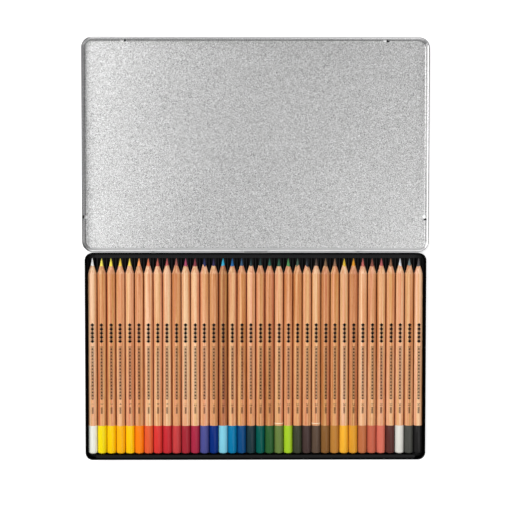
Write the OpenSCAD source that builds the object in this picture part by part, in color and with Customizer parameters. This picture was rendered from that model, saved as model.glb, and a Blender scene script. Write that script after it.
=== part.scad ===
// Flat hinged tin that holds one row of round coloured pencils in a grooved tray.
// All sizes are in millimetres. The origin is the centre of the tin's underside: +X runs along
// the hinge, +Y towards it and +Z up. The lid lies open at 180 degrees behind the tin, inside up.

/* [Pencils] */
// Number of pencils in the row
pencil_count = 36; // [12:1:36]
// Length of one pencil, from its domed end to its point
pencil_len = 174.6; // [120:0.2:200]
// Diameter of the round wooden barrel
barrel_d = 7.8; // [6.4:0.1:9]
// Free space between two neighbouring barrels
barrel_gap = 0.48; // [0.44:0.02:2.5]
// Diameter of the coloured core
core_d = 3.3; // [2.5:0.1:4.5]
// Length of the sharpened cone
point_len = 13.9; // [10:0.1:22]
// Length of the core that stands out of the wood
core_out = 6.8; // [4:0.2:9]
// Diameter of the blunted point
tip_d = 0.7; // [0.4:0.1:1.4]
// Length of the end that is dipped in coloured lacquer
dip_len = 25.6; // [10:0.2:60]
// Thickness of the lacquer on the dipped end
dip_t = 0.1; // [0.06:0.02:0.2]
// Height of the dome of lacquer on the end
dome_h = 1.5; // [0.6:0.1:2.5]

/* [Tray] */
// Wall thickness of the moulded tray
tray_t = 0.6; // [0.4:0.1:1]
// Clearance between a barrel and its groove
groove_clear = 0.3; // [0.26:0.02:0.6]
// Height of the ridges between the grooves, below the barrels' axes
ridge_drop = 2; // [1.8:0.1:3]
// Free height between the tin's floor and the underside of the grooves
groove_lift = 1.9; // [1:0.1:4]
// Width of the rim beside the first and last grooves
side_rim = 0.5; // [0.4:0.1:4]
// Width of the raised ledge at the points
rear_ledge_w = 3; // [2:0.1:6]
// Width of the raised ledge at the dipped ends
front_ledge_w = 2.7; // [2:0.1:6]
// Height of both ledges above the barrels' axes
ledge_rise = 4.5; // [2:0.1:5]
// Distance from each end of a ledge to the tray's side
ledge_inset = 7.6; // [5.5:0.1:20]
// Gap between the points and the rear ledge
tip_gap = 0.5; // [0.3:0.1:3]
// Gap between the dipped ends and the front ledge
end_gap = 0.4; // [0.3:0.1:3]
// Clearance between the tray and the rolled rim it is pushed past
tray_fit = 0.15; // [0.1:0.05:0.6]
// Distance from the tin's floor to the lower edge of the tray's skirt
skirt_lift = 0.6; // [0.5:0.1:1.5]
// Thickness of a foot under the grooves
foot_t = 1.2; // [0.8:0.1:3]
// Distance between neighbouring feet
foot_pitch = 55; // [20:1:80]

/* [Base] */
// Thickness of the sheet metal
sheet_t = 0.3; // [0.24:0.02:0.4]
// Height of the open base
base_h = 13.2; // [12.6:0.1:20]
// Outer radius of the base's corners in plan
corner_r = 6.5; // [5:0.5:14]
// Outer radius of the fold between floor and walls
fold_r = 1.6; // [1:0.1:2.4]
// Diameter of the rim, rolled inwards
rim_roll_d = 1.25; // [1:0.05:1.8]

/* [Lid] */
// Clearance between the base's wall and the lid's wall when closed
lid_clear = 0.7; // [0.6:0.05:1.5]
// Gap between the base's rim and the lid's panel when closed
rim_gap = 0.3; // [0.3:0.1:2]
// Radius of the fold between the lid's panel and walls
lid_fold_r = 1.5; // [1:0.1:2.4]
// Height of the pressed dimples that grip the base
dimple_h = 0.5; // [0.3:0.05:0.5]
// Diameter of the pressed dimples
dimple_d = 2.4; // [1.6:0.1:3.2]
// Distance of the dimples' centres from the lid's panel face
dimple_z = 3.6; // [3.2:0.1:4]
// Distance between the two dimples in the front wall
front_dimple_pitch = 236; // [60:1:240]
// Distance of the side dimples from the hinge axis
side_dimple_y = 30.6; // [16:0.1:90]

/* [Hinge] */
// Diameter of the hinge wire
wire_d = 1.3; // [1:0.1:1.6]
// Length of the hinge wire
wire_len = 190; // [188:1:230]
// Clearance all round the wire in the base's knuckles
knuckle_fit = 0.05; // [0.02:0.01:0.1]
// Clearance all round the wire in the lid's rolled edge
roll_fit = 0.1; // [0.05:0.01:0.1]
// Width of the knuckle in the middle
mid_knuckle_w = 21; // [8:0.5:40]
// Width of the two narrow knuckles
side_knuckle_w = 3; // [3:0.5:8]
// Distance between the two narrow knuckles
side_knuckle_pitch = 182; // [100:1:182]
// Clearance at each end of a knuckle
knuckle_gap = 0.5; // [0.3:0.1:1.5]
// Slant of each end of the middle notch in the lid
notch_slant = 1.4; // [0:0.1:3]
// Depth of the notches below the hinge axis
notch_drop = 1.5; // [1.3:0.1:2.5]

/* [Hidden] */
$fn = 96;
// Thin space that keeps a pencil's casing, core and lacquer apart as separate pieces
film = 0.02;
// Overlap of cutting tools past the faces they cut
over = 1;

// Names and colours of the pencils, from left to right
SHADES = [
    ["white", "#F0F0E6"], ["lemon", "#F5E010"], ["yellow", "#FCC80A"],
    ["warm_yellow", "#FCB414"], ["deep_yellow", "#FFCC08"], ["orange", "#FF8418"],
    ["vermilion", "#F0603A"], ["red", "#E63C3C"], ["crimson", "#D83440"],
    ["carmine", "#C03A40"], ["wine", "#9C2438"], ["raspberry", "#B42444"],
    ["blue_violet", "#4E5098"], ["dark_blue", "#0A2C78"], ["sky_blue", "#86D0EA"],
    ["cyan_blue", "#0078B0"], ["deep_blue", "#104A8A"], ["black_green", "#1C3A36"],
    ["teal", "#005A54"], ["green", "#2E6A34"], ["olive", "#6E8A40"],
    ["lime", "#A4D820"], ["moss", "#3C4A34"], ["purple_brown", "#483436"],
    ["grey_brown", "#54463C"], ["brown", "#80602A"], ["ochre", "#B87A30"],
    ["yellow_ochre", "#F8B428"], ["golden_ochre", "#E8A028"], ["sienna", "#C87044"],
    ["terracotta", "#D4664C"], ["salmon", "#E2705C"], ["dark_brown", "#5C3430"],
    ["light_grey", "#DCDCD2"], ["dark_grey", "#50504A"], ["black", "#1E1E20"]
];
TIN_NODES = ["base_tin", "hinge_wire", "pencil_tray", "lid"];

// Pencil row
barrel_r = barrel_d / 2;
core_r = core_d / 2;
tip_r = tip_d / 2;
dip_r = barrel_r + dip_t;
pitch = barrel_d + barrel_gap;
groove_r = barrel_r + groove_clear;
groove_under_r = groove_r + tray_t;
row_w = (pencil_count - 1) * pitch;

// Tray, sized round the pencil row
tray_w = row_w + 2 * (groove_r + side_rim);
tray_d = pencil_len + tip_gap + end_gap + rear_ledge_w + front_ledge_w;
tray_corner_r = corner_r - rim_roll_d - tray_fit;

// Base, sized round the tray
base_w = tray_w + 2 * (tray_fit + rim_roll_d);
base_d = tray_d + 2 * (tray_fit + rim_roll_d);
axis_z = sheet_t + groove_lift + groove_under_r;
ridge_z = axis_z - ridge_drop;
ledge_z = axis_z + ledge_rise;
tip_y = tray_d / 2 - rear_ledge_w - tip_gap;
groove_rear_y = tray_d / 2 - rear_ledge_w;
groove_front_y = front_ledge_w - tray_d / 2;

// Lid and hinge, sized round the base
lid_roll_d = wire_d + 2 * (roll_fit + sheet_t);
tin_h = base_h + rim_gap + sheet_t;
hinge_z = tin_h / 2;
hinge_y = base_d / 2 + lid_clear + lid_roll_d / 2;
lid_h = hinge_z + lid_roll_d / 2;
lid_w = base_w + 2 * (lid_clear + sheet_t);
lid_d = base_d + 2 * (lid_clear + sheet_t);
lid_corner_r = corner_r + lid_clear + sheet_t;
lid_y = hinge_y - lid_roll_d / 2 + lid_roll_d - sheet_t + lid_d / 2;
knuckle_r = wire_d / 2 + knuckle_fit + sheet_t;
dimple_r = (pow(dimple_d / 2, 2) + pow(dimple_h, 2)) / (2 * dimple_h);

function pencil_x(k) = k * pitch - row_w / 2;
function pencil_name(k) = str("pencil_", k < 9 ? "0" : "", k + 1, "_", SHADES[k][0]);

// ---- Shared shapes ----

// Extrudes a profile along X. The profile's x becomes Y and its y becomes Z.
module along_x(length) {
    rotate([90, 0, 90])
        linear_extrude(length, center = true)
            children();
}

// Sweeps a wall profile round a rectangle with round corners. The profile's x is the distance
// outwards from the lines that join the corners' centres, and its y is the height.
module round_the_edge(run_x, run_y) {
    for (quarter = [0 : 3]) {
        across = quarter % 2 == 0 ? run_y : run_x;
        along = quarter % 2 == 0 ? run_x : run_y;
        rotate(90 * quarter)
            translate([0, across / 2, 0])
                along_x(along)
                    children();
        rotate(90 * quarter)
            translate([along / 2, across / 2, 0])
                rotate_extrude(angle = 90)
                    children();
    }
}

// A rectangle with round corners, centred
module round_rect(w, d, r) {
    square([w - 2 * r, d], center = true);
    square([w, d - 2 * r], center = true);
    for (sx = [-1, 1], sy = [-1, 1])
        translate([sx * (w / 2 - r), sy * (d / 2 - r)])
            circle(r);
}

// A slot shape along X with round ends
module stadium(length, width) {
    square([length - width, width], center = true);
    for (side = [-1, 1])
        translate([side * (length - width) / 2, 0])
            circle(d = width);
}

// The cross-section of a rolled sheet edge, with the slit between slit_from and slit_to
module rolled_edge(outer_d, slit_from, slit_to) {
    reach = outer_d;
    difference() {
        circle(d = outer_d);
        circle(d = outer_d - 2 * sheet_t);
        polygon([
            [0, 0],
            [reach * cos(slit_from), reach * sin(slit_from)],
            [reach * cos(slit_to), reach * sin(slit_to)]
        ]);
    }
}

// The cross-section of a pressed pan's floor edge, fold and upright wall
module pan_profile(wall_r, bend_r, wall_top) {
    square([wall_r - bend_r, sheet_t]);
    translate([wall_r - bend_r, bend_r])
        intersection() {
            difference() {
                circle(bend_r);
                circle(bend_r - sheet_t);
            }
            translate([0, -bend_r])
                square(bend_r);
        }
    translate([wall_r - sheet_t, bend_r])
        square([sheet_t, wall_top - bend_r]);
}

// ---- Tin ----

// The base's section: floor edge, fold, wall and the rim rolled inwards
module base_profile() {
    pan_profile(corner_r, fold_r, base_h - rim_roll_d / 2);
    translate([corner_r - rim_roll_d / 2, base_h - rim_roll_d / 2])
        rolled_edge(rim_roll_d, 285, 335);
}

// A tongue of the base's rear wall that is rolled round the hinge wire
module knuckle(width) {
    leg = hinge_y - base_d / 2 + sheet_t / 2;
    translate([0, hinge_y, hinge_z])
        along_x(width)
            union() {
                rolled_edge(2 * knuckle_r, 200, 245);
                translate([-leg, -knuckle_r])
                    square([leg, sheet_t]);
            }
}

module base_tin() {
    run_x = base_w - 2 * corner_r;
    run_y = base_d - 2 * corner_r;
    color("#16171A") {
        round_the_edge(run_x, run_y)
            base_profile();
        translate([-run_x / 2, -run_y / 2, 0])
            cube([run_x, run_y, sheet_t]);
        knuckle(mid_knuckle_w);
        for (side = [-1, 1])
            translate([side * side_knuckle_pitch / 2, 0, 0])
                knuckle(side_knuckle_w);
    }
}

module hinge_wire() {
    color("#B8BABD")
        translate([-wire_len / 2, hinge_y, hinge_z])
            rotate([0, 90, 0])
                cylinder(d = wire_d, h = wire_len);
}

// ---- Tray ----

// The groove walls, seen along the pencils
module groove_profile() {
    difference() {
        intersection() {
            for (k = [0 : pencil_count - 1])
                translate([pencil_x(k), axis_z])
                    circle(groove_under_r);
            translate([-tray_w / 2, 0])
                square([tray_w, ridge_z]);
        }
        groove_bores();
    }
}

// The row of round spaces that the pencils lie in
module groove_bores() {
    for (k = [0 : pencil_count - 1])
        translate([pencil_x(k), axis_z])
            circle(groove_r);
}

// A foot across the tray, from the tin's floor up to the grooves
module foot_profile() {
    foot_w = tray_w - 2 * tray_corner_r;
    difference() {
        translate([-foot_w / 2, sheet_t])
            square([foot_w, ridge_z - sheet_t - tray_t]);
        groove_bores();
    }
}

// Extrudes a profile along Y, between two places
module along_y(from_y, to_y) {
    translate([0, to_y, 0])
        rotate([90, 0, 0])
            linear_extrude(to_y - from_y)
                children();
}

// A hollow raised ledge at one end of the grooves, with the deck that it rises from
module end_ledge(ledge_w, deck_z) {
    ledge_len = tray_w - 2 * ledge_inset;
    difference() {
        translate([0, 0, deck_z - tray_t])
            linear_extrude(ledge_z - deck_z + tray_t)
                stadium(ledge_len, ledge_w);
        translate([0, 0, deck_z - tray_t - over])
            linear_extrude(ledge_z - deck_z + over)
                stadium(ledge_len - 2 * tray_t, ledge_w - 2 * tray_t);
    }
}

module pencil_tray() {
    skirt_z = sheet_t + skirt_lift;
    rear_y = tray_d / 2 - rear_ledge_w / 2;
    front_y = front_ledge_w / 2 - tray_d / 2;
    color("#2B2C2E") {
        // grooves and the feet below them
        intersection() {
            along_y(groove_front_y - tray_t, groove_rear_y + tray_t)
                groove_profile();
            linear_extrude(base_h)
                round_rect(tray_w, tray_d, tray_corner_r);
        }
        for (place = [-1, 0, 1])
            along_y(place * foot_pitch - foot_t / 2, place * foot_pitch + foot_t / 2)
                foot_profile();
        // skirt round the outside
        translate([0, 0, skirt_z])
            linear_extrude(ridge_z - skirt_z)
                difference() {
                    round_rect(tray_w, tray_d, tray_corner_r);
                    round_rect(tray_w - 2 * tray_t, tray_d - 2 * tray_t, tray_corner_r - tray_t);
                }
        // walls that close the grooves' ends, and the decks behind them
        intersection() {
            linear_extrude(base_h)
                round_rect(tray_w, tray_d, tray_corner_r);
            for (end = [[groove_rear_y, rear_ledge_w, rear_y], [groove_front_y, front_ledge_w, front_y]])
                end_shelf(end[0], end[1], end[2]);
        }
        translate([0, rear_y, 0])
            end_ledge(rear_ledge_w, ridge_z);
        translate([0, front_y, 0])
            end_ledge(front_ledge_w, ridge_z);
    }
}

// The wall at one end of the grooves and the deck from it to the skirt, open below the ledge
module end_shelf(wall_y, ledge_w, middle_y) {
    side = sign(wall_y);
    wall_z = axis_z - groove_under_r;
    translate([-tray_w / 2, wall_y - (side < 0 ? tray_t : 0), wall_z])
        cube([tray_w, tray_t, ridge_z - wall_z]);
    difference() {
        translate([-tray_w / 2, middle_y - ledge_w / 2, ridge_z - tray_t])
            cube([tray_w, ledge_w, tray_t]);
        translate([0, middle_y, ridge_z - tray_t - over])
            linear_extrude(tray_t + 2 * over)
                stadium(tray_w - 2 * ledge_inset - 2 * tray_t, ledge_w - 2 * tray_t);
    }
}

// ---- Lid ----

// The lid's section, inside up: panel edge, fold, wall and the edge rolled outwards
module lid_profile() {
    pan_profile(lid_corner_r, lid_fold_r, hinge_z);
    translate([lid_corner_r - sheet_t + lid_roll_d / 2, hinge_z])
        rolled_edge(lid_roll_d, 200, 245);
}

// Runs the children at each dimple, with their +X pointing out of the lid's wall and their
// origin on its inner face
module at_dimples() {
    inner_w = lid_w - 2 * sheet_t;
    front_y = lid_y + lid_d / 2 - sheet_t;
    for (side = [-1, 1]) {
        translate([side * front_dimple_pitch / 2, front_y, dimple_z])
            rotate(90)
                children();
        translate([side * inner_w / 2, hinge_y + side_dimple_y, dimple_z])
            rotate(side > 0 ? 0 : 180)
                children();
    }
}

// The raised face of a pressed dimple, inside the lid
module dimple_bump() {
    intersection() {
        translate([dimple_r - dimple_h, 0, 0])
            sphere(dimple_r);
        translate([-dimple_h, -dimple_d, -dimple_d])
            cube([dimple_h + sheet_t / 2, 2 * dimple_d, 2 * dimple_d]);
    }
}

// The hollow that the press leaves on the outside of a dimple
module dimple_hollow() {
    translate([dimple_r - dimple_h, 0, 0])
        sphere(dimple_r - sheet_t);
}

// A cut through the lid's rolled edge and wall, where a knuckle of the base passes
module hinge_notch(width, slant) {
    low = hinge_z - notch_drop;
    high = lid_h + over;
    translate([0, hinge_y, 0])
        rotate([90, 0, 0])
            linear_extrude(2 * lid_roll_d, center = true)
                polygon([
                    [-width / 2, low],
                    [width / 2, low],
                    [width / 2 + slant, high],
                    [-width / 2 - slant, high]
                ]);
}

module lid() {
    run_x = lid_w - 2 * lid_corner_r;
    run_y = lid_d - 2 * lid_corner_r;
    color("#C4C6C8")
        difference() {
            union() {
                translate([0, lid_y, 0])
                    round_the_edge(run_x, run_y)
                        lid_profile();
                translate([-run_x / 2, lid_y - run_y / 2, 0])
                    cube([run_x, run_y, sheet_t]);
                at_dimples()
                    dimple_bump();
            }
            at_dimples()
                dimple_hollow();
            hinge_notch(mid_knuckle_w + 2 * knuckle_gap, notch_slant);
            for (side = [-1, 1])
                translate([side * side_knuckle_pitch / 2, 0, 0])
                    hinge_notch(side_knuckle_w + 2 * knuckle_gap, 0);
        }
}

// ---- Pencils ----

// The wooden casing: a bored barrel with its sharpened cone, along Z from the dipped end
module casing() {
    bore_r = core_r + film;
    rotate_extrude()
        polygon([
            [bore_r, dome_h + film],
            [barrel_r, dome_h + film],
            [barrel_r, pencil_len - point_len],
            [bore_r, pencil_len - core_out]
        ]);
}

// The coloured core, sharpened with the casing
module core() {
    rotate_extrude()
        polygon([
            [0, dome_h + film],
            [core_r, dome_h + film],
            [core_r, pencil_len - core_out],
            [tip_r, pencil_len],
            [0, pencil_len]
        ]);
}

// The lacquer on the dipped end: a thin sleeve that is closed by a dome
module dipped_end() {
    dome_r = (pow(dip_r, 2) + pow(dome_h, 2)) / (2 * dome_h);
    sleeve_r = barrel_r + film;
    rotate_extrude()
        union() {
            intersection() {
                square([dip_r, dome_h]);
                translate([0, dome_r])
                    circle(dome_r);
            }
            translate([sleeve_r, dome_h])
                square([dip_r - sleeve_r, dip_len - dome_h]);
        }
}

// One pencil in its groove, with its point towards the hinge
module pencil(k) {
    translate([pencil_x(k), tip_y - pencil_len, axis_z])
        rotate([-90, 0, 0]) {
            color("#C99A66")
                casing();
            color(SHADES[k][1]) {
                core();
                dipped_end();
            }
        }
}

base_tin();
hinge_wire();
pencil_tray();
lid();
for (k = [0 : pencil_count - 1])
    pencil(k);
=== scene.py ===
"""Dresses the colored pencil tin: a flat hinged tin, its lid laid open, with a row of wooden pencils.

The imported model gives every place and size. Each class below makes one sub-assembly or one
finish. Lengths are in metres, in the row's frame: +X along the hinge, +Y towards it, +Z up.
"""

import logging
import math
from dataclasses import dataclass, field
from enum import Enum

import bmesh
import bpy
from mathutils import Matrix, Vector


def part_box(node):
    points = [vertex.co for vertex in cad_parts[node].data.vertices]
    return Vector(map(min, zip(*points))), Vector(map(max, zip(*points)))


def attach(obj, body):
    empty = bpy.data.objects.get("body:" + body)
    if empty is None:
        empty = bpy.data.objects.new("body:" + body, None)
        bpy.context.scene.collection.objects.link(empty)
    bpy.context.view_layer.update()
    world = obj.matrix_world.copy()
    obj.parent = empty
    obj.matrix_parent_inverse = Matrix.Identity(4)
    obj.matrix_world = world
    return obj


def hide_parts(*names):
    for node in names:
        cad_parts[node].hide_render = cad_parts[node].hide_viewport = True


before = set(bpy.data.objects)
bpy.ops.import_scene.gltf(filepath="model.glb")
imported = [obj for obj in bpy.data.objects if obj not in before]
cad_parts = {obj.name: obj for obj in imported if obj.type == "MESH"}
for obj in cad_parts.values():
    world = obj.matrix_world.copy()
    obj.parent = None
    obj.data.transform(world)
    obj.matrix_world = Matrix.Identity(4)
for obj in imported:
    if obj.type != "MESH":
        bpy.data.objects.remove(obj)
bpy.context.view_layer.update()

log = logging.getLogger("pencil_tin")
MM = 0.001
WELD = 1e-7
Socket = bpy.types.NodeSocket
Triple = tuple[float, float, float]
Inputs = dict[str | int, object]


# Node graphs, node groups and materials


class Graph:
    """Adds nodes to a node tree and wires them."""

    def __init__(self, tree: bpy.types.NodeTree) -> None:
        """Keeps the shader or geometry node tree and empties it."""
        self.tree = tree
        tree.nodes.clear()

    def add(self, kind: str, inputs: Inputs | None = None, **settings: object) -> bpy.types.Node:
        """Adds one node.

        Args:
            kind: The node's type name.
            inputs: Values or sockets for its inputs, by name or by index.
            **settings: Properties of the node itself.

        Returns:
            The new node.
        """
        node = self.tree.nodes.new(kind)
        for name, value in settings.items():
            setattr(node, name, value)
        for key, value in (inputs or {}).items():
            self.feed(node.inputs[key], value)
        return node

    def first(self, kind: str, inputs: Inputs | None = None, **settings: object) -> Socket:
        """Adds one node as add does and returns its first output."""
        return self.add(kind, inputs, **settings).outputs[0]

    def feed(self, socket: Socket, value: object) -> None:
        """Fills an input.

        Args:
            socket: The input.
            value: Another node's output, which is linked, or a plain value.
        """
        if isinstance(value, Socket):
            self.tree.links.new(value, socket)
        else:
            socket.default_value = value

    def math(self, operation: str, *values: object) -> Socket:
        """Adds a Math node and returns its result."""
        return self.first("ShaderNodeMath", dict(enumerate(values)), operation=operation)

    def inverse(self, share: object) -> Socket:
        """Turns a share from 0 to 1 the other way round."""
        return self.math("SUBTRACT", 1.0, share)

    def vectors(self, operation: str, *values: object) -> Socket:
        """Adds a Vector Math node and returns the vector it gives."""
        return self.first("ShaderNodeVectorMath", dict(enumerate(values)), operation=operation)

    def measure(self, operation: str, *values: object) -> Socket:
        """Adds a Vector Math node and returns the number it gives, such as a distance."""
        node = self.add("ShaderNodeVectorMath", dict(enumerate(values)), operation=operation)
        return node.outputs["Value"]

    def vector(self, x: object, y: object, z: object) -> Socket:
        """Joins three numbers into a vector."""
        return self.first("ShaderNodeCombineXYZ", {0: x, 1: y, 2: z})

    def axes(self, vector: Socket) -> bpy.types.NodeOutputs:
        """Splits a vector into its three numbers."""
        return self.add("ShaderNodeSeparateXYZ", {0: vector}).outputs

    def mix(self, share: object, low: object, high: object) -> Socket:
        """Mixes two colours by a share from 0 to 1."""
        node = self.add("ShaderNodeMix", {0: share, 6: low, 7: high}, data_type="RGBA")
        return node.outputs[2]

    def between(self, value: object, low: float, high: float) -> Socket:
        """Maps a value smoothly from 0 at low to 1 at high."""
        ends = {"Value": value, "From Min": low, "From Max": high}
        return self.first("ShaderNodeMapRange", ends, interpolation_type="SMOOTHSTEP")

    def noise(self, place: object, scale: object, detail: float) -> Socket:
        """Adds fractal noise and returns its value, which is about 0.5 on average."""
        inputs = {"Vector": place, "Scale": scale, "Detail": detail}
        return self.first("ShaderNodeTexNoise", inputs)


class Group(Graph):
    """A new node group.

    Attributes:
        given: What comes in, by name.
        result: What goes out, by name.
    """

    def __init__(
        self, name: str, kind: str, inputs: dict[str, str], outputs: dict[str, str]
    ) -> None:
        """Makes the group and its sockets.

        Args:
            name: Its name.
            kind: "Shader" or "Geometry".
            inputs: Name to kind of its inputs, such as "Float".
            outputs: Name to kind of its outputs.
        """
        super().__init__(bpy.data.node_groups.new(name, f"{kind}NodeTree"))
        for side, sockets in (("INPUT", inputs), ("OUTPUT", outputs)):
            for socket, type_name in sockets.items():
                self.tree.interface.new_socket(
                    socket, in_out=side, socket_type=f"NodeSocket{type_name}"
                )
        self.given = self.add("NodeGroupInput").outputs
        self.result = self.add("NodeGroupOutput").inputs

    def finish(self, geometry: Socket) -> None:
        """Ends a geometry tree with plain geometry of the given material.

        Args:
            geometry: The geometry that the tree has made.
        """
        self.tree.is_modifier = True
        real = self.first("GeometryNodeRealizeInstances", {"Geometry": geometry})
        dressed = {"Geometry": real, "Material": self.given["Material"]}
        self.feed(self.result["Geometry"], self.first("GeometryNodeSetMaterial", dressed))


class Surface(Graph):
    """A new material's nodes.

    Attributes:
        material: The material.
        shader: Its Principled BSDF.
        place: The object coordinates.
    """

    def __init__(self, name: str, values: Inputs) -> None:
        """Makes the material with its Principled BSDF.

        Args:
            name: The material's name.
            values: Plain values for the shader's inputs.
        """
        self.material = bpy.data.materials.new(name)
        self.material.use_nodes = True
        super().__init__(self.material.node_tree)
        self.shader = self.add("ShaderNodeBsdfPrincipled", values)
        self.add("ShaderNodeOutputMaterial", {"Surface": self.shader.outputs[0]})
        self.place = self.add("ShaderNodeTexCoord").outputs["Object"]

    def set(self, name: str, value: object) -> None:
        """Fills one of the shader's inputs."""
        self.feed(self.shader.inputs[name], value)

    def bump(self, height: object, depth: float) -> None:
        """Feeds a height, about 0 to 1, of a depth in metres into the shader's normal."""
        self.set("Normal", self.first("ShaderNodeBump", {"Height": height, "Distance": depth}))

    def group(self, name: str, inputs: Inputs) -> bpy.types.NodeOutputs:
        """Places a shared shader group, with values or sockets for its inputs."""
        shared = bpy.data.node_groups[name]
        return self.add("ShaderNodeGroup", inputs, node_tree=shared).outputs


def linear(code: str) -> tuple[float, float, float, float]:
    """Turns a six-digit sRGB colour into linear light.

    Args:
        code: The colour, as in "C0FFEE".

    Returns:
        Red, green, blue and alpha.
    """
    parts = [int(code[i : i + 2], 16) / 255 for i in (0, 2, 4)]
    curve = [p / 12.92 if p <= 0.04045 else ((p + 0.055) / 1.055) ** 2.4 for p in parts]
    return (*curve, 1.0)


# Shader groups that several finishes share


@dataclass(frozen=True)
class GrainLayer:
    """One layer of the wood's grain, made of noise that is drawn out along the pencil.

    Attributes:
        across: Repeats per metre across the pencil.
        along: Repeats per metre along it.
        detail: Detail of the noise.
        low: The noise's value where the layer begins to show.
        high: The value where it shows in full.
        share: How far it darkens the wood.
    """

    across: float
    along: float
    detail: float
    low: float
    high: float
    share: float

    def build(self, graph: Graph, place: Socket) -> Socket:
        """Makes the layer's mask."""
        drawn = graph.vectors("MULTIPLY", place, (self.across, self.along, self.across))
        return graph.between(graph.noise(drawn, 1.0, self.detail), self.low, self.high)


GRAIN = {
    "broad": GrainLayer(150.0, 5.0, 2.0, 0.35, 0.65, 0.25),
    "streak": GrainLayer(900.0, 8.0, 2.0, 0.42, 0.6, 0.6),
    "fibre": GrainLayer(2400.0, 60.0, 2.0, 0.32, 0.7, 0.2),
    "pore": GrainLayer(3600.0, 260.0, 1.0, 0.6, 0.72, 0.35),
}


def make_grain_group() -> None:
    """Builds the wood grain: long streaks, fine fibres and small pores along Y."""
    hue_repeats = (480.0, 6.0, 480.0)
    hue_swing = 0.06
    least_hue = 0.472
    inputs = {"Vector": "Vector", "Light": "Color", "Dark": "Color"}
    graph = Group("wood_grain", "Shader", inputs, {"Colour": "Color", "Height": "Float"})
    given, result = graph.given, graph.result
    masks = {name: layer.build(graph, given["Vector"]) for name, layer in GRAIN.items()}
    dark = 0.0
    for name, layer in GRAIN.items():
        dark = graph.math("MULTIPLY_ADD", masks[name], layer.share, dark)
    colour = graph.mix(dark, given["Light"], given["Dark"])
    drift = graph.noise(graph.vectors("MULTIPLY", given["Vector"], hue_repeats), 1.0, 1.0)
    hue = graph.math("MULTIPLY_ADD", drift, hue_swing, least_hue)
    turned = graph.first("ShaderNodeHueSaturation", {"Hue": hue, "Color": colour})
    graph.feed(result["Colour"], turned)
    height = graph.math("MULTIPLY", masks["fibre"], -0.4)
    height = graph.math("MULTIPLY_ADD", masks["pore"], -0.6, height)
    graph.feed(result["Height"], height)


def make_mottle_group() -> None:
    """Builds the slight unevenness that paint, plastic, wax and ink have."""
    slow_scale = 0.13
    fine_share = 0.6
    inputs = {"Vector": "Vector", "Colour": "Color", "Amount": "Float", "Scale": "Float"}
    outputs = {"Colour": "Color", "Value": "Float", "Height": "Float"}
    graph = Group("mottle", "Shader", inputs, outputs)
    given, result = graph.given, graph.result
    fine = graph.noise(given["Vector"], given["Scale"], 3.0)
    slow = graph.noise(given["Vector"], graph.math("MULTIPLY", given["Scale"], slow_scale), 1.0)
    slow = graph.math("MULTIPLY", slow, 1.0 - fine_share)
    value = graph.math("MULTIPLY_ADD", fine, fine_share, slow)
    shift = graph.math("MULTIPLY", graph.math("SUBTRACT", value, 0.5), given["Amount"])
    value_change = graph.math("MULTIPLY_ADD", shift, 2.0, 1.0)
    inputs = {"Color": given["Colour"], "Value": value_change}
    graph.feed(result["Colour"], graph.first("ShaderNodeHueSaturation", inputs))
    graph.feed(result["Value"], value)
    graph.feed(result["Height"], fine)


# Finishes


class WoodTone(Enum):
    """How light and how red a pencil's cedar is: its light and dark grain colours."""

    BLOND = ("F5CAA3", "D9925E")
    PALE = ("EFC49B", "D48E5A")
    ROSY = ("EFBB90", "D08450")
    HONEY = ("ECB788", "C47B47")
    AMBER = ("EBB181", "C37642")
    TAN = ("E6A977", "BF703B")
    RUSSET = ("DFA06F", "B36736")
    BROWN = ("C78655", "924E28")


@dataclass(frozen=True)
class Finish:
    """A finish with its name and the plain values of its shader.

    Attributes:
        name: The material's name.
        roughness: How matt the surface is.
        shine: How strongly it reflects, where 0.5 is a plain glossy surface.
        coat: How much clear coat lies on it.
        coat_roughness: How matt that coat is.
        metallic: 1 for bare metal, 0 for the rest.
    """

    name: str
    roughness: float = 0.5
    shine: float = 0.5
    coat: float = 0.0
    coat_roughness: float = 0.2
    metallic: float = 0.0

    def build(self) -> bpy.types.Material:
        """Makes the material, with the finish's own pattern on it.

        Returns:
            The new material.
        """
        values = {
            "Roughness": self.roughness,
            "Specular IOR Level": self.shine,
            "Coat Weight": self.coat,
            "Coat Roughness": self.coat_roughness,
            "Metallic": self.metallic,
        }
        graph = Surface(self.name, values)
        self.pattern(graph)
        return graph.material

    def pattern(self, graph: Surface) -> None:
        """Adds colour, roughness and bump. Each finish has its own.

        Args:
            graph: The material's nodes.
        """
        raise NotImplementedError


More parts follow.
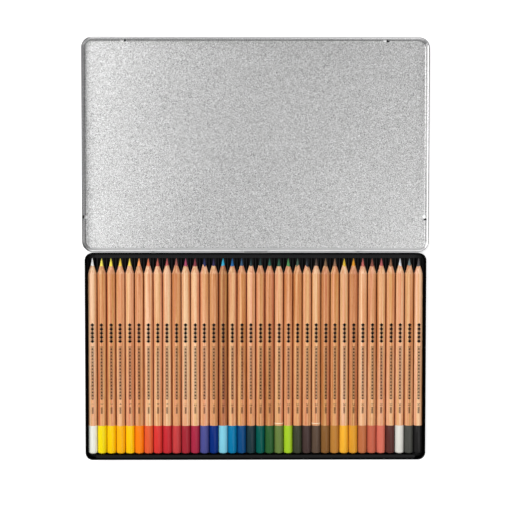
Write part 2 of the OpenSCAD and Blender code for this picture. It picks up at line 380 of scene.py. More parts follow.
@dataclass(frozen=True)
class SpeckledSilver(Finish):
    """Silver lacquer on tinplate, with a fine sparkling grain that the smooth edge lacks.

    Attributes:
        light: Colour of the bright specks.
        dark: Colour between them.
        edge: Colour of the smooth folded and rolled edge.
        painted_hinge_highlight: Colour of the painted highlight on the hinge curl, beside the base.
        painted_fold_light: Colour of the fold beside the hinge, which, made less metallic, shows as
            painted light.
        painted_left_edge_shade: Painted shade on the outer half of the rolled edge along the left
            side.
        painted_shadow: Colour of the painted shadow beside a dimple's painted glint.
        painted_glint: Colour of that painted glint, a painted highlight.
        speck_scale: Repeats per metre of the specks.
        grain_scale: Repeats per metre of the coarser grain.
        drift_scale: Repeats per metre of the slow drift of tone.
        depth: Depth of the grain's relief in metres.
        matt: How much less metallic the hinge band and the painted glints are, so that their painted
            light shows.
        edge_z: Heights in metres between which the grain fades into the edge.
        hinge_y: Places in metres between which the edge turns to the hinge band of painted light.
        painted_hinge_highlight_y: Places in metres between which the painted hinge highlight turns to
            the fold's painted light.
        painted_left_edge_shade_x: Places in metres along X between which that painted shade fades out
            towards the middle.
        roll: Half the width and depth of the rolled edge's middle line, and its corners' radius.
        roll_fade: Distances in metres from that line between which its outer half begins.
        middle: The middle of that line.
        painted_glints: Places in metres of the painted highlights on the pressed dimples.
        painted_shadows: Places in metres of the painted shadows beside them.
        spot: Radius in metres of a painted glint or painted shadow.
        skin_z: Heights in metres between the outer face, which has no spots, and the inner.
    """

    light: str = "F4F4F4"
    dark: str = "6E6E6E"
    edge: str = "D4D4D5"
    painted_hinge_highlight: str = "F8F8F8"
    painted_fold_light: str = "C6C6C6"
    painted_left_edge_shade: str = "5C5C5D"
    painted_shadow: str = "1C1C1C"
    painted_glint: str = "FFFFFF"
    speck_scale: float = 2300.0
    grain_scale: float = 1450.0
    drift_scale: float = 7.0
    depth: float = 0.00004
    matt: float = 0.75
    edge_z: tuple[float, float] = (0.0006, 0.0016)
    hinge_y: tuple[float, float] = (0.0958, 0.0968)
    painted_hinge_highlight_y: tuple[float, float] = (0.0940, 0.0948)
    painted_left_edge_shade_x: tuple[float, float] = (-0.1495, -0.1445)
    roll: Triple = (0.15275, 0.09375, 0.0085)
    roll_fade: tuple[float, float] = (-0.0009, 0.0002)
    middle: Triple = (0.0, 0.1875, 0.0)
    painted_glints: tuple[Triple, ...] = (
        (-0.1183, 0.2800, 0.0006),
        (0.1148, 0.2803, 0.0006),
        (-0.1512, 0.1234, 0.0010),
        (0.1505, 0.1238, 0.0006),
    )
    painted_shadows: tuple[Triple, ...] = (
        (-0.1162, 0.2805, 0.0008),
        (0.1174, 0.2802, 0.0005),
        (-0.1524, 0.1237, 0.0078),
        (0.1511, 0.1222, 0.0010),
    )
    spot: float = 0.0018
    skin_z: tuple[float, float] = (0.0001, 0.00028)

    def near(self, graph: Surface, centres: tuple[Triple, ...]) -> Socket:
        """Masks the small round spots about some places, but not on the outer face.

        Args:
            graph: The material's nodes.
            centres: The spots' centres.

        Returns:
            The mask, 1 in the spots.
        """
        mask = 0.0
        for centre in centres:
            away = graph.measure("DISTANCE", graph.place, centre)
            here = graph.inverse(graph.between(away, 0.7 * self.spot, self.spot))
            mask = graph.math("MAXIMUM", mask, here)
        height = graph.axes(graph.place)[2]
        return graph.math("MULTIPLY", mask, graph.between(height, *self.skin_z))

    def outer_half(self, graph: Surface) -> Socket:
        """Masks the outer half of the rolled edge, all round the lid.

        Args:
            graph: The material's nodes.

        Returns:
            The mask, 1 on the outer half.
        """
        wide, slant_varnish_and_painted_shade, radius = self.roll
        spot = graph.vectors("ABSOLUTE", graph.vectors("SUBTRACT", graph.place, self.middle))
        spot = graph.vectors("SUBTRACT", spot, (wide - radius, slant_varnish_and_painted_shade - radius, 1.0))
        spot = graph.vectors("MAXIMUM", spot, (0.0, 0.0, 0.0))
        low, high = self.roll_fade
        return graph.between(graph.measure("LENGTH", spot), radius + low, radius + high)

    def pattern(self, graph: Surface) -> None:
        """Fine specks of two sizes over a slow drift of tone, and a slightly uneven sheet.

        Args:
            graph: The material's nodes.
        """
        speck = graph.noise(graph.place, self.speck_scale, 0.0)
        grain = graph.noise(graph.place, self.grain_scale, 0.0)
        drift = graph.noise(graph.place, self.drift_scale, 1.0)
        tone = graph.math("MULTIPLY", graph.between(speck, 0.32, 0.68), 0.6)
        tone = graph.math("MULTIPLY_ADD", graph.between(grain, 0.3, 0.7), 0.25, tone)
        tone = graph.math("MULTIPLY_ADD", drift, 0.15, tone)
        colour = graph.mix(tone, linear(self.dark), linear(self.light))
        axes = graph.axes(graph.place)
        edge = graph.between(axes[2], *self.edge_z)
        hinge = graph.inverse(graph.between(axes[1], *self.hinge_y))
        smooth = graph.math("MAXIMUM", edge, hinge)
        # Painted shade: the outer half of the rolled edge along the left side is darkened.
        left = graph.inverse(graph.between(axes[0], *self.painted_left_edge_shade_x))
        shaded = graph.math("MULTIPLY", left, self.outer_half(graph))
        # Painted light beside the hinge: a near-white painted highlight on the curl, turning to a
        # lighter painted fold; both are made less metallic below.
        past_painted_hinge_highlight = graph.between(axes[1], *self.painted_hinge_highlight_y)
        painted_hinge_light = graph.mix(past_painted_hinge_highlight, linear(self.painted_hinge_highlight), linear(self.painted_fold_light))
        plain = graph.mix(hinge, linear(self.edge), painted_hinge_light)
        plain = graph.mix(shaded, plain, linear(self.painted_left_edge_shade))
        colour = graph.mix(smooth, colour, plain)
        # Painted shadow and painted glint at each pressed dimple.
        colour = graph.mix(self.near(graph, self.painted_shadows), colour, linear(self.painted_shadow))
        painted_glint_mask = self.near(graph, self.painted_glints)
        colour = graph.mix(painted_glint_mask, colour, linear(self.painted_glint))
        graph.set("Base Color", colour)
        # The hinge band and the painted glints lose metal, so that their painted light shows.
        bright = graph.math("MAXIMUM", hinge, painted_glint_mask)
        graph.set("Metallic", graph.math("MULTIPLY_ADD", bright, -self.matt, self.metallic))
        rough = graph.math("MULTIPLY_ADD", grain, 0.2, self.roughness - 0.1)
        rough = graph.math("MULTIPLY_ADD", smooth, -0.12, rough)
        graph.set("Roughness", rough)
        relief = graph.math("MULTIPLY_ADD", grain, 0.5, speck)
        relief = graph.math("MULTIPLY", relief, graph.inverse(smooth))
        graph.bump(relief, self.depth)


@dataclass(frozen=True)
class EvenCoat(Finish):
    """Paint, plastic, wax or ink of one colour with a slight unevenness.

    Attributes:
        colour: The surface's colour.
        amount: How far its brightness wanders.
        scale: Repeats per metre of the unevenness.
        depth: Depth of its relief in metres.
        squeeze: How much the pattern is drawn out along Y, where 1 leaves it even.
    """

    colour: str = "808080"
    amount: float = 0.1
    scale: float = 300.0
    depth: float = 0.00001
    squeeze: float = 1.0

    def pattern(self, graph: Surface) -> None:
        """Puts the shared mottling on the colour, the roughness and the relief.

        Args:
            graph: The material's nodes.
        """
        wander = 0.1
        inputs = {
            "Vector": graph.vectors("MULTIPLY", graph.place, (1.0, self.squeeze, 1.0)),
            "Colour": linear(self.colour),
            "Amount": self.amount,
            "Scale": self.scale,
        }
        mottle = graph.group("mottle", inputs)
        graph.set("Base Color", mottle["Colour"])
        rough = graph.math("MULTIPLY_ADD", mottle["Value"], wander, self.roughness - wander / 2)
        graph.set("Roughness", rough)
        graph.bump(mottle["Height"], self.depth)


@dataclass(frozen=True)
class CutWood(Finish):
    """Varnished cedar on the barrel and bare, freshly cut cedar on the sharpened cone.

    Attributes:
        tone: The wood's colours.
        cone_y: Where the barrel ends and the cone begins.
        slant_varnish_and_painted_shade: What the colour keeps where the barrel is seen at a slant:
            partly deeper varnish, partly painted shade in the gaps between pencils.
        fade: Half the length over which the varnish ends.
        turn: Length along the pencil between two of the sharpener's marks.
        depth: Depth of the relief in metres.
    """

    tone: WoodTone = WoodTone.HONEY
    cone_y: float = 0.0732
    slant_varnish_and_painted_shade: tuple[float, float, float, float] = (0.52, 0.24, 0.08, 1.0)
    fade: float = 0.4 * MM
    turn: float = 0.35 * MM
    depth: float = 0.00003

    def pattern(self, graph: Surface) -> None:
        """Runs the grain along the pencil and takes the varnish off past the barrel.

        Args:
            graph: The material's nodes.
        """
        light, dark = self.tone.value
        inputs = {"Vector": graph.place, "Light": linear(light), "Dark": linear(dark)}
        grain = graph.group("wood_grain", inputs)
        along = graph.axes(graph.place)[1]
        cut = graph.between(along, self.cone_y - self.fade, self.cone_y + self.fade)
        turning = graph.math("SINE", graph.math("MULTIPLY", along, 2 * math.pi / self.turn))
        inputs = {"Color": grain["Colour"], "Saturation": 0.9, "Value": 1.04}
        paler = graph.first("ShaderNodeHueSaturation", inputs)
        # Darker and redder where seen at a slant: partly deeper varnish, partly painted shade between
        # neighbouring pencils.
        slant = graph.add("ShaderNodeLayerWeight", {"Blend": 0.35}).outputs["Facing"]
        varnished_and_shaded = graph.add(
            "ShaderNodeMix",
            {0: graph.between(slant, 0.15, 0.85), 6: grain["Colour"], 7: self.slant_varnish_and_painted_shade},
            data_type="RGBA",
            blend_type="MULTIPLY",
        )
        colour = graph.mix(cut, varnished_and_shaded.outputs[2], paler)
        graph.set("Base Color", colour)
        graph.set("Roughness", graph.math("MULTIPLY_ADD", cut, 0.25, self.roughness))
        graph.set("Coat Weight", graph.math("MULTIPLY", graph.inverse(cut), self.coat))
        marks = graph.math("MULTIPLY", graph.math("MULTIPLY", turning, 0.25), cut)
        height = graph.math("ADD", grain["Height"], marks)
        graph.bump(height, self.depth)


# Geometry node trees


def make_turning_tree() -> None:
    """Builds the tree that turns a section about the Z axis, as on a lathe.

    The modified mesh holds the section: a vertex's x is its radius, and its z is its height. The
    point attribute "wander" says how far a ring may stray in height, for a slanted, wavy edge.
    """
    wave_scale = 1.1
    weld = 1e-6
    shape = {"Geometry": "Geometry"}
    inputs = {"Steps": "Int", "Wander": "Float", "Seed": "Float", "Material": "Material"}
    graph = Group("turned_section", "Geometry", shape | inputs, shape)
    given = graph.given
    section = {"Geometry": given["Geometry"]}
    position = graph.first("GeometryNodeInputPosition")
    rings = graph.first("GeometryNodeAttributeDomainSize", section, component="MESH")
    columns = graph.math("ADD", given["Steps"], 1.0)
    grid = {"Size X": 1.0, "Size Y": 1.0, "Vertices X": rings, "Vertices Y": columns}
    sheet = graph.first("GeometryNodeMeshGrid", grid)
    spot = graph.axes(position)

    def index(along: Socket, count: Socket) -> Socket:
        """Number of the row or column that a grid vertex is in."""
        last = graph.math("SUBTRACT", count, 1.0)
        return graph.math("ROUND", graph.math("MULTIPLY", graph.math("ADD", along, 0.5), last))

    def sampled(kind: str, value: Socket) -> Socket:
        """Reads a value at the section's point that a grid vertex belongs to."""
        point = section | {"Value": value, "Index": index(spot[0], rings)}
        return graph.first("GeometryNodeSampleIndex", point, data_type=kind, domain="POINT")

    turn = graph.math("DIVIDE", index(spot[1], columns), given["Steps"])
    angle = graph.math("MULTIPLY", turn, 2 * math.pi)
    stray = graph.first("GeometryNodeInputNamedAttribute", {"Name": "wander"}, data_type="FLOAT")
    radius, _, height = graph.axes(sampled("FLOAT_VECTOR", position))
    cos, sin = graph.math("COSINE", angle), graph.math("SINE", angle)
    wave = graph.noise(graph.vector(cos, sin, given["Seed"]), wave_scale, 2.0)
    lift = graph.math("MULTIPLY", graph.math("MULTIPLY_ADD", wave, 5.0, -2.5), given["Wander"])
    x = graph.math("MULTIPLY", radius, cos)
    y = graph.math("MULTIPLY", radius, sin)
    z = graph.math("MULTIPLY_ADD", sampled("FLOAT", stray), lift, height)
    placed = {"Geometry": sheet, "Position": graph.vector(x, y, z)}
    merged = {"Geometry": graph.first("GeometryNodeSetPosition", placed), "Distance": weld}
    graph.finish(graph.first("GeometryNodeMergeByDistance", merged))


def make_print_tree() -> None:
    """Builds the tree that stamps a barrel: rows of marks and a number, wrapped round it.

    The marks are laid out flat, with x across the barrel and y along it, and then bent round a
    cylinder along Y. Distances along the barrel are measured from the point. A mark's size is
    given across the barrel and along it.
    """
    bold_lozenge = (3.8 * MM, 3.3 * MM)
    bar_between = (3.2 * MM, 0.5 * MM)
    fine_bar = (2.9 * MM, 0.38 * MM)
    fine_lozenge = (2.8 * MM, 1.3 * MM)
    dash = (1.7 * MM, 0.6 * MM)
    dash_pitch, dash_count = 0.95 * MM, 6
    number_to_dashes = 4.2 * MM
    number_size = 3.0 * MM
    lengths = ("Radius", "Bold Start", "Bold Pitch", "Fine Start", "Fine Pitch", "Number Start")
    inputs = {name: "Float" for name in (*lengths, "Turn")}
    inputs |= {"Bold Count": "Int", "Fine Count": "Int", "Number": "String"}
    inputs |= {"Material": "Material"}
    graph = Group("barrel_print", "Geometry", inputs, {"Geometry": "Geometry"})
    given = graph.given
    lines = graph.add("GeometryNodeJoinGeometry")

    def back(distance: object) -> Socket:
        """Makes the vector that leads a distance away from the point."""
        return graph.vector(0.0, graph.math("MULTIPLY", distance, -1.0), 0.0)

    def lozenge(across: float, along: float) -> Socket:
        """Draws a diamond, fine enough to bend round the barrel.

        Args:
            across: Its size across the barrel.
            along: Its size along the barrel.

        Returns:
            Its geometry.
        """
        grid = {"Size X": 1.0, "Size Y": 1.0, "Vertices X": 6, "Vertices Y": 6}
        square = graph.first("GeometryNodeMeshGrid", grid)
        eighth = {"Geometry": square, "Rotation": (0.0, 0.0, math.pi / 4)}
        turned = graph.first("GeometryNodeTransform", eighth)
        scale = (across / math.sqrt(2), along / math.sqrt(2), 1.0)
        return graph.first("GeometryNodeTransform", {"Geometry": turned, "Scale": scale})

    def bar(across: float, along: float) -> Socket:
        """Draws a plain bar across the barrel."""
        size = {"Size X": across, "Size Y": along, "Vertices X": 8, "Vertices Y": 2}
        return graph.first("GeometryNodeMeshGrid", size)

    def row(shape: Socket, start: object, pitch: object, count: object) -> None:
        """Repeats a mark along the barrel, away from the point.

        Args:
            shape: The mark's geometry.
            start: Distance of the first from the point.
            pitch: Distance from one to the next.
            count: How many there are.
        """
        points = {"Count": count, "Start Location": back(start), "Offset": back(pitch)}
        line = graph.first("GeometryNodeMeshLine", points, mode="OFFSET")
        copies = {"Points": line, "Instance": shape}
        graph.feed(lines.inputs[0], graph.first("GeometryNodeInstanceOnPoints", copies))

    bold = given["Bold Start"], given["Bold Pitch"], given["Bold Count"]
    row(lozenge(*bold_lozenge), *bold)
    halfway = graph.math("ADD", bold[0], graph.math("MULTIPLY", bold[1], 0.5))
    row(bar(*bar_between), halfway, bold[1], graph.math("SUBTRACT", bold[2], 1.0))
    fine = given["Fine Start"], given["Fine Pitch"], given["Fine Count"]
    row(bar(*fine_bar), *fine)
    for shape, shift in ((bar(*fine_bar), 0.36), (lozenge(*fine_lozenge), 0.7)):
        row(shape, graph.math("MULTIPLY_ADD", fine[1], shift, fine[0]), *fine[1:])
    dashes = graph.math("ADD", given["Number Start"], number_to_dashes)
    row(bar(*dash), dashes, dash_pitch, dash_count)

    text = {"String": given["Number"], "Size": number_size}
    align = {"align_x": "LEFT", "align_y": "MIDDLE"}
    letters = graph.first("GeometryNodeStringToCurves", text, **align)
    filled = graph.first("GeometryNodeFillCurve", {"Curve": letters})
    filled = graph.first("GeometryNodeRealizeInstances", {"Geometry": filled})
    number = {
        "Geometry": graph.first("GeometryNodeSubdivideMesh", {"Mesh": filled, "Level": 1}),
        "Rotation": (0.0, 0.0, -math.pi / 2),
        "Translation": back(given["Number Start"]),
    }
    graph.feed(lines.inputs[0], graph.first("GeometryNodeTransform", number))

    flat = graph.first("GeometryNodeRealizeInstances", {"Geometry": lines.outputs[0]})
    spot = graph.axes(graph.first("GeometryNodeInputPosition"))
    around = graph.math("ADD", graph.math("DIVIDE", spot[0], given["Radius"]), given["Turn"])
    x = graph.math("MULTIPLY", graph.math("SINE", around), given["Radius"])
    z = graph.math("MULTIPLY", graph.math("COSINE", around), given["Radius"])
    bent = {"Geometry": flat, "Position": graph.vector(x, spot[1], z)}
    graph.finish(graph.first("GeometryNodeSetPosition", bent))


# Meshes and pieces


def grown(name: str, start: bpy.types.Mesh, tree: str, inputs: Inputs) -> bpy.types.Mesh:
    """Runs a geometry node tree on a mesh and returns the plain result.

    Args:
        name: Name of the new mesh.
        start: The mesh that the tree works on.
        tree: The node group's name.
        inputs: Values for its named inputs.

    Returns:
        The finished mesh, with nothing live on it.
    """
    carrier = bpy.data.objects.new(name + "_carrier", start)
    bpy.context.scene.collection.objects.link(carrier)
    modifier = carrier.modifiers.new("form", "NODES")
    modifier.node_group = bpy.data.node_groups[tree]
    names = {
        item.name: item.identifier
        for item in modifier.node_group.interface.items_tree
        if item.item_type == "SOCKET" and item.in_out == "INPUT"
    }
    for key, value in inputs.items():
        modifier[names[key]] = value
    carrier.update_tag()
    bpy.context.view_layer.update()
    evaluated = carrier.evaluated_get(bpy.context.evaluated_depsgraph_get())
    mesh = bpy.data.meshes.new_from_object(evaluated)
    mesh.name = name
    carrier.modifiers.remove(modifier)
    bpy.data.objects.remove(carrier)
    return mesh


def section_mesh(points: list[Triple]) -> bpy.types.Mesh:
    """Makes the bare vertices of a section.

    Args:
        points: (radius, height, wander) of each point, in order.

    Returns:
        A mesh with the points and their "wander" attribute.
    """
    mesh = bpy.data.meshes.new("section")
    mesh.from_pydata([(radius, 0.0, up) for radius, up, _ in points], [], [])
    wander = mesh.attributes.new("wander", "FLOAT", "POINT")
    wander.data.foreach_set("value", [stray for _, _, stray in points])
    return mesh


def smooth(mesh: bpy.types.Mesh, sharp: float, closed: bool) -> None:
    """Joins a mesh's loose faces and shades it smooth, apart from its sharp edges.

    Args:
        mesh: The mesh, which is changed.
        sharp: The angle in degrees past which an edge stays sharp.
        closed: True for a closed mesh whose faces have still to be pointed outwards.
    """
    work = bmesh.new()
    work.from_mesh(mesh)
    bmesh.ops.remove_doubles(work, verts=work.verts, dist=WELD)
    if closed:
        bmesh.ops.dissolve_degenerate(work, dist=0.1 * WELD, edges=work.edges)
        bmesh.ops.recalc_face_normals(work, faces=work.faces)
    work.to_mesh(mesh)
    work.free()
    mesh.shade_smooth()
    mesh.set_sharp_from_angle(angle=math.radians(sharp))


def place_piece(
    name: str, mesh: bpy.types.Mesh, body: str, node: str
) -> bpy.types.Object:
    """Adds a finished piece to the scene.

    Args:
        name: The piece's name.
        mesh: Its mesh, already in place.
        body: The body it rides on.
        node: The node it helps to stand for.

    Returns:
        The piece.
    """
    piece = bpy.data.objects.new(name, mesh)
    bpy.context.scene.collection.objects.link(piece)
    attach(piece, body)
    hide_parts(node)
    log.info("%s rides on %s", name, body)
    return piece


# Pencils


@dataclass(frozen=True)
class Shade:
    """One pencil's looks.

    Attributes:
        lacquer: Colour of the dipped end.
        core: Colour of the core.
        tone: The wood's tone.
        slant: How far the cut edge of the wood strays round the core, in millimetres.
        ring: True if a thin cream ring lies above the dipped end.
    """

    lacquer: str
    core: str
    tone: WoodTone
    slant: float = 0.7
    ring: bool = False


SHADES = (
    Shade("ECECE1", "FFFFFF", WoodTone.BLOND, 0.5),
    Shade("F3DA0F", "FFF061", WoodTone.TAN),
    Shade("FCC904", "FFEC52", WoodTone.TAN),
    Shade("FAB411", "FFD947", WoodTone.ROSY),
    Shade("F8C30A", "FFE158", WoodTone.ROSY),
    Shade("F98210", "FDA463", WoodTone.AMBER),
    Shade("DF5B32", "E07A54", WoodTone.BLOND),
    Shade("D63733", "B75E51", WoodTone.ROSY),
    Shade("C22C33", "B85959", WoodTone.PALE),
    Shade("BE3C3D", "AB6359", WoodTone.TAN),
    Shade("A22834", "AA4567", WoodTone.PALE),
    Shade("A42741", "8A3B45", WoodTone.BLOND),
    Shade("494C8C", "262F5E", WoodTone.ROSY, 1.6),
    Shade("062C79", "2D254F", WoodTone.HONEY),
    Shade("7FCADE", "35AFD7", WoodTone.BROWN),
    Shade("0572A0", "135F9E", WoodTone.HONEY),
    Shade("0B477B", "305170", WoodTone.TAN),
    Shade("1E353B", "1B3439", WoodTone.ROSY, 0.9),
    Shade("03574E", "193939", WoodTone.RUSSET),
    Shade("2D5C2F", "225D4E", WoodTone.RUSSET, 0.4),
    Shade("657B3D", "205741", WoodTone.ROSY, 0.6, True),
    Shade("A1C928", "4B8D52", WoodTone.AMBER),
    Shade("3C402F", "405A4A", WoodTone.TAN, 1.5),
    Shade("463633", "262B32", WoodTone.AMBER, 1.5),
    Shade("5A483B", "52423B", WoodTone.PALE, 0.6, True),
    Shade("81582D", "806347", WoodTone.RUSSET),
    Shade("B77C35", "926B51", WoodTone.TAN),
    Shade("EBAB2F", "E1BA35", WoodTone.PALE),
    Shade("DD9A2C", "E99E26", WoodTone.RUSSET),
    Shade("BB6D43", "B8615A", WoodTone.BLOND),
    Shade("C1624A", "8A4E42", WoodTone.HONEY),
    Shade("D06C59", "B55A5A", WoodTone.ROSY),
    Shade("57302B", "8E6145", WoodTone.ROSY, 0.9),
    Shade("DAD8D0", "D8DBE0", WoodTone.BLOND, 1.0),
    Shade("494A45", "717F80", WoodTone.HONEY, 1.0),
    Shade("222121", "545052", WoodTone.BLOND, 0.7),
)


@dataclass
class Pencil:
    """One sharpened round pencil: casing, core, dipped end and printed marks.

    Attributes:
        node: The name of its node and of the body it rides on.
        shade: Its colours and wood.
        film: Thickness of the lacquer on the dipped end.
        core_r: Radius of the core.
        tip_r: Radius of the blunted point.
        cone: Length of the sharpened cone.
        core_out: Length of the core that stands out of the wood.
        dip: Length of the dipped end.
        dome: Height of the dome of lacquer.
        gap: Space between two parts, so that no two faces coincide.
        steps: Faces in a full turn.
        sharp: Angle in degrees past which an edge stays sharp.
        low: Lowest corner of its box.
        high: Highest corner of its box.
        number: Its number, from 1.
    """

    node: str
    shade: Shade
    film: float = 0.1 * MM
    core_r: float = 1.65 * MM
    tip_r: float = 0.35 * MM
    cone: float = 13.9 * MM
    core_out: float = 6.8 * MM
    dip: float = 25.6 * MM
    dome: float = 1.5 * MM
    gap: float = 0.02 * MM
    steps: int = 48
    sharp: float = 35.0
    low: Vector = field(init=False)
    high: Vector = field(init=False)
    number: int = field(init=False)

    def __post_init__(self) -> None:
        """Reads the pencil's place and size from its node."""
        self.low, self.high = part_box(self.node)
        self.number = int(self.node.split("_")[1])
        self.length: float = self.high.y - self.low.y
        self.dip_r: float = (self.high.x - self.low.x) / 2
        self.barrel_r = self.dip_r - self.film
        self.shoulder = self.length - self.cone
        self.edge = self.length - self.core_out

    def wood_radius(self, from_end: float) -> float:
        """Radius of the cut wood at a distance from the dipped end."""
        share = (from_end - self.shoulder) / (self.edge - self.shoulder)
        return self.barrel_r + share * (self.core_r - self.barrel_r)

    def turned(
        self, part: str, section: list[Triple], finish: Finish, wander: float = 0.0
    ) -> None:
        """Turns a section into a piece that lies in its place.

        Args:
            part: The part's name, which ends the piece's name.
            section: (radius, distance from the dipped end, wander) of each point.
            finish: Its finish.
            wander: How far the rings with wander may stray along the pencil.
        """
        name = f"{self.node}_{part}"
        inputs = {
            "Steps": self.steps,
            "Wander": wander,
            "Seed": self.number * 3.7,
            "Material": finish.build(),
        }
        mesh = grown(name, section_mesh(section), "turned_section", inputs)
        centre = Vector((self.low.x + self.dip_r, self.low.y, self.low.z + self.dip_r))
        spin = Matrix.Rotation(self.number * 2.4, 4, "Z")
        mesh.transform(Matrix.Translation(centre) @ Matrix.Rotation(-math.pi / 2, 4, "X") @ spin)
        smooth(mesh, self.sharp, closed=True)
        place_piece(name, mesh, self.node, self.node)

    def make_casing(self) -> None:
        """Makes the bored barrel, its cone and the uneven edge where the core comes out."""
        bore = self.core_r + self.gap
        start = self.dome + self.gap
        rim = 0.12 * MM
        soft = self.shoulder + 0.5 * MM
        back = self.edge - 1.6 * self.shade.slant * MM
        section = [
            (bore, start, 0.0),
            (self.barrel_r, start, 0.0),
            (self.barrel_r, self.shoulder - 0.3 * MM, 0.0),
            (self.wood_radius(soft), soft, 0.0),
        ]
        for share in (0.5, 1.0):
            along = soft + share * (back - soft)
            section += [(self.wood_radius(along) + share * rim, along, 0.3 * share)]
        section += [
            (bore + rim, self.edge, 1.0),
            (bore, self.edge - 0.05 * MM, 1.0),
            (bore, self.shoulder, 0.0),
            (bore, start, 0.0),
        ]
        wood = CutWood(
            f"cedar_{self.number:02d}",
            roughness=0.45,
            shine=0.12,
            coat=0.3,
            coat_roughness=0.12,
            tone=self.shade.tone,
            cone_y=self.high.y - self.cone,
        )
        self.turned("casing", section, wood, self.shade.slant * MM)

    def make_core(self) -> None:
        """Makes the coloured core with its blunted point."""
        start = self.dome + self.gap
        cut = self.edge - 1.2 * self.shade.slant * MM
        nose = self.tip_r * 0.6
        section = [
            (0.0, start, 0.0),
            (self.core_r, start, 0.0),
            (self.core_r, cut, 0.0),
            (self.core_r * 0.97, self.edge, 0.0),
            (self.tip_r, self.length - nose, 0.0),
        ]
        section += [
            (self.tip_r * math.cos(a), self.length - nose + nose * math.sin(a), 0.0)
            for a in (math.radians(25), math.radians(50), math.radians(72))
        ]
        section += [(0.0, self.length, 0.0)]
        wax = EvenCoat(
            f"core_{self.number:02d}",
            roughness=0.5,
            shine=0.25,
            colour=self.shade.core,
            amount=0.35,
            scale=1400.0,
            depth=0.00003,
        )
        self.turned("core", section, wax)

    def make_dip(self) -> None:
        """Makes the sleeve of lacquer and the dome that closes it."""
        sleeve = self.barrel_r + self.gap
        round_r = (self.dip_r**2 + self.dome**2) / (2 * self.dome)
        limit = math.asin((self.dip_r - 0.5 * MM) / round_r)
        rings = 6
        section = [(0.0, 0.0, 0.0)]
        for ring in range(1, rings + 1):
            angle = limit * ring / rings
            section += [(round_r * math.sin(angle), round_r * (1 - math.cos(angle)), 0.0)]
        section += [
            (self.dip_r - 0.16 * MM, self.dome * 0.86, 0.0),
            (self.dip_r, self.dome + 0.35 * MM, 0.0),
            (self.dip_r, self.dip - 0.25 * MM, 0.0),
            (self.dip_r - 0.04 * MM, self.dip - 0.05 * MM, 0.0),
            (sleeve, self.dip, 0.0),
            (sleeve, self.dome, 0.0),
            (0.0, self.dome, 0.0),
        ]
        gloss = EvenCoat(
            f"lacquer_{self.number:02d}",
            roughness=0.35,
            shine=0.02,
            coat=0.22,
            coat_roughness=0.05,
            colour=self.shade.lacquer,
            amount=0.22,
            scale=800.0,
            depth=0.00002,
            squeeze=0.05,
        )
        self.turned("dip", section, gloss)

    def make_ring(self) -> None:
        """Makes the thin cream ring above the dipped end."""
        inner, outer = self.barrel_r + 0.005 * MM, self.barrel_r + 0.04 * MM
        low, high = self.dip + 1.6 * MM, self.dip + 2.3 * MM
        corners = ((inner, low), (outer, low), (outer, high), (inner, high), (inner, low))
        section = [(*corner, 0.0) for corner in corners]
        cream = EvenCoat(f"ring_{self.number:02d}", roughness=0.4, colour="F2DDBB", amount=0.1)
        self.turned("ring", section, cream)

    def make_print(self) -> None:
        """Stamps the marks and the pencil's number on the barrel."""
        name = f"{self.node}_print"
        ink = EvenCoat(
            "print_ink", roughness=0.5, shine=0.1, colour="100A08", amount=0.5, scale=900.0
        )
        inputs = {
            "Radius": self.barrel_r + self.gap,
            "Bold Start": 59.0 * MM,
            "Bold Pitch": 3.62 * MM,
            "Bold Count": 5,
            "Fine Start": 78.3 * MM,
            "Fine Pitch": 2.96 * MM,
            "Fine Count": 16,
            "Number Start": 128.6 * MM,
            "Number": f"{self.number}",
            "Turn": 0.03 + 0.05 * math.sin(self.number * 2.7),
            "Material": bpy.data.materials.get(ink.name) or ink.build(),
        }
        mesh = grown(name, bpy.data.meshes.new("blank"), "barrel_print", inputs)
        axis = Vector((self.low.x + self.dip_r, self.high.y, self.low.z + self.dip_r))
        mesh.transform(Matrix.Translation(axis))
        place_piece(name, mesh, self.node, self.node)

    def build(self) -> None:
        """Makes every part of the pencil."""
        self.make_casing()
        self.make_core()
        self.make_dip()
        self.make_print()
        if self.shade.ring:
            self.make_ring()


# Tin


@dataclass
class Tin:
    """The tin's own pieces, which keep the shapes of their nodes with smooth faces.

    Attributes:
        knuckle_y: Where the bare metal of the hinge knuckles begins, behind the black base.
        sharp: Angle in degrees past which an edge stays sharp.
    """

    knuckle_y: float = 92.1 * MM
    sharp: float = 32.0

    def dress(self, node: str, body: str, finish: Finish) -> bpy.types.Object:
        """Copies a node's shape, joins its loose faces and gives it a finish.

        Args:
            node: The node.
            body: The body it rides on.
            finish: The finish.

        Returns:
            The piece.
        """
        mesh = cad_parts[node].data.copy()
        mesh.materials.clear()
        mesh.materials.append(finish.build())
        mesh.polygons.foreach_set("material_index", [0] * len(mesh.polygons))
        if "custom_normal" in mesh.attributes:
            mesh.attributes.remove(mesh.attributes["custom_normal"])
        smooth(mesh, self.sharp, closed=False)
        return place_piece(f"{node}_shell", mesh, body, node)

    def build(self) -> None:
        """Dresses base, tray, hinge wire and lid."""
        black = EvenCoat(
            "black_lacquer",
            roughness=0.25,
            shine=0.03,
            coat=0.03,
            coat_roughness=0.1,
            colour="060607",
            amount=0.3,
            scale=180.0,
        )
        plastic = EvenCoat(
            "moulded_plastic",
            roughness=0.42,
            shine=0.2,
            colour="060607",
            amount=0.25,
            scale=2200.0,
            depth=0.00002,
        )
        wire = EvenCoat("bright_wire", roughness=0.3, metallic=0.4, colour="DCDCDC")
        silver = SpeckledSilver("speckled_silver", roughness=0.33, metallic=1.0)
        base = self.dress("base_tin", "tin", black)
        base.data.materials.append(wire.build())
        for face in base.data.polygons:
            if face.center.y > self.knuckle_y:
                face.material_index = 1
        self.dress("pencil_tray", "tin", plastic)
        self.dress("hinge_wire", "tin", wire)
        self.dress("lid", "lid", silver)


# Studio


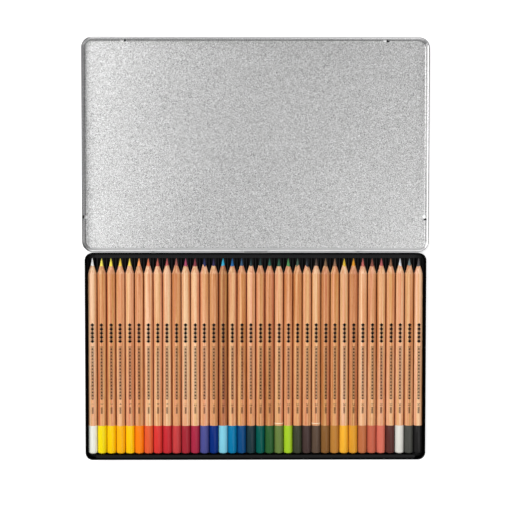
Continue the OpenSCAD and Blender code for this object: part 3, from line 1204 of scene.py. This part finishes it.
@dataclass(frozen=True)
class Softbox:
    """A large soft lamp above the object.

    Attributes:
        name: The lamp's name.
        place: Its centre.
        aim: The point it faces.
        width: Its size along X.
        depth: Its size along Y.
        radiance: How bright its face is, where 1 shows as white.
    """

    name: str
    place: Triple
    aim: Triple
    width: float
    depth: float
    radiance: float

    def build(self) -> None:
        """Hangs the lamp, unseen by the camera."""
        data = bpy.data.lights.new(self.name, "AREA")
        data.shape = "RECTANGLE"
        data.size, data.size_y = self.width, self.depth
        data.energy = self.radiance * math.pi * self.width * self.depth
        lamp = bpy.data.objects.new(self.name, data)
        lamp.location = self.place
        way = Vector(self.aim) - Vector(self.place)
        lamp.rotation_euler = way.to_track_quat("-Z", "Y").to_euler()
        lamp.visible_camera = False
        bpy.context.scene.collection.objects.link(lamp)


@dataclass
class Studio:
    """The floor, the lamps, the world and the camera.

    Attributes:
        eye: The camera's place.
        tilt: Its turn about X, in degrees, away from looking straight down.
        roll: Its turn about Y, in degrees.
        yaw: Its turn about Z, in degrees.
        focal_px: Its focal length in pixels of the picture.
        picture_px: The picture's width in pixels.
        floor_half: Half the floor's width.
        floor_drop: How far the floor lies below the object.
        floor_tone: The floor's lightness.
        floor_mirrored: Its lightness where the object mirrors it.
        floor_glow: What it adds of its own, so that it shows white.
        sky: Brightness of the sky at its darkest.
        glow: What the sky gains at the back and left.
    """

    eye: Triple = (-0.0112, 0.1342, 1.1)
    tilt: float = 2.361
    roll: float = 0.601
    yaw: float = -0.006
    focal_px: float = 1232.3
    picture_px: float = 512.0
    floor_half: float = 6.0
    floor_drop: float = 0.2 * MM
    floor_tone: float = 0.7
    floor_mirrored: float = 0.3
    floor_glow: float = 0.6
    sky: float = 0.3
    glow: float = 1.1

    def make_floor(self) -> None:
        """Lays the pale floor, which shows white and keeps the object's shadow."""
        signs = ((-1, -1), (1, -1), (1, 1), (-1, 1))
        corners = [(x * self.floor_half, y * self.floor_half, -self.floor_drop) for x, y in signs]
        mesh = bpy.data.meshes.new("floor")
        mesh.from_pydata(corners, [], [(0, 1, 2, 3)])
        graph = Surface("pale_floor", {"Roughness": 0.9, "Emission Color": (1.0, 1.0, 1.0, 1.0)})
        path = graph.add("ShaderNodeLightPath").outputs
        tones = (self.floor_tone, self.floor_mirrored)
        plain, mirrored = ((tone, tone, tone, 1.0) for tone in tones)
        seen = graph.math("MAXIMUM", path["Is Camera Ray"], path["Is Transmission Ray"])
        graph.set("Base Color", graph.mix(path["Is Glossy Ray"], plain, mirrored))
        graph.set("Emission Strength", graph.math("MULTIPLY", seen, self.floor_glow))
        mesh.materials.append(graph.material)
        floor = bpy.data.objects.new("floor", mesh)
        bpy.context.scene.collection.objects.link(floor)

    def make_world(self) -> None:
        """Lights everything from all round: a soft sky that is paler at the back and left."""
        world = bpy.data.worlds.new("studio")
        bpy.context.scene.world = world
        world.use_nodes = True
        graph = Graph(world.node_tree)
        way = graph.add("ShaderNodeTexCoord").outputs["Generated"]
        side = graph.between(graph.measure("DOT_PRODUCT", way, (-0.45, 0.9, 0.0)), 0.1, 0.9)
        height = graph.between(graph.axes(way)[2], 0.0, 0.5)
        glow = graph.math("MULTIPLY_ADD", graph.math("MULTIPLY", side, height), self.glow, self.sky)
        white = {"Color": (1.0, 1.0, 1.0, 1.0), "Strength": glow}
        sky = graph.first("ShaderNodeBackground", white)
        graph.add("ShaderNodeOutputWorld", {"Surface": sky})

    def make_camera(self) -> None:
        """Hangs the camera above the tin, as the picture was taken."""
        data = bpy.data.cameras.new("camera")
        data.sensor_width = 36.0
        data.lens = self.focal_px / self.picture_px * data.sensor_width
        data.clip_start, data.clip_end = 0.01, 20.0
        camera = bpy.data.objects.new("camera", data)
        look = (
            Matrix.Rotation(math.radians(self.yaw), 3, "Z")
            @ Matrix.Rotation(math.radians(self.roll), 3, "Y")
            @ Matrix.Rotation(math.radians(self.tilt), 3, "X")
        )
        camera.matrix_world = Matrix.Translation(self.eye) @ look.transposed().to_4x4()
        bpy.context.scene.collection.objects.link(camera)
        bpy.context.scene.camera = camera

    def build(self) -> None:
        """Sets up the whole studio."""
        self.make_camera()
        self.make_floor()
        self.make_world()
        lamps = (
            Softbox("left_box", (-1.3, 0.5, 1.8), (0.0, 0.1, 0.0), 1.3, 2.0, 3.0),
            Softbox("right_box", (1.0, -0.4, 1.95), (0.0, 0.1, 0.0), 1.2, 2.0, 1.65),
            Softbox("front_box", (0.0, -1.9, 1.7), (0.0, 0.0, 0.0), 2.0, 0.9, 1.5),
        )
        for lamp in lamps:
            lamp.build()
        bpy.context.scene.view_settings.view_transform = "Standard"


def main() -> None:
    """Builds the studio, the tin and every pencil."""
    logging.basicConfig(level=logging.INFO, format="%(name)s: %(message)s")
    make_grain_group()
    make_mottle_group()
    make_turning_tree()
    make_print_tree()
    Studio().build()
    Tin().build()
    names = [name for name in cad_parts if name.startswith("pencil_") and name[7].isdigit()]
    for node, shade in zip(sorted(names), SHADES):
        Pencil(node, shade).build()


if __name__ == "__main__":
    main()
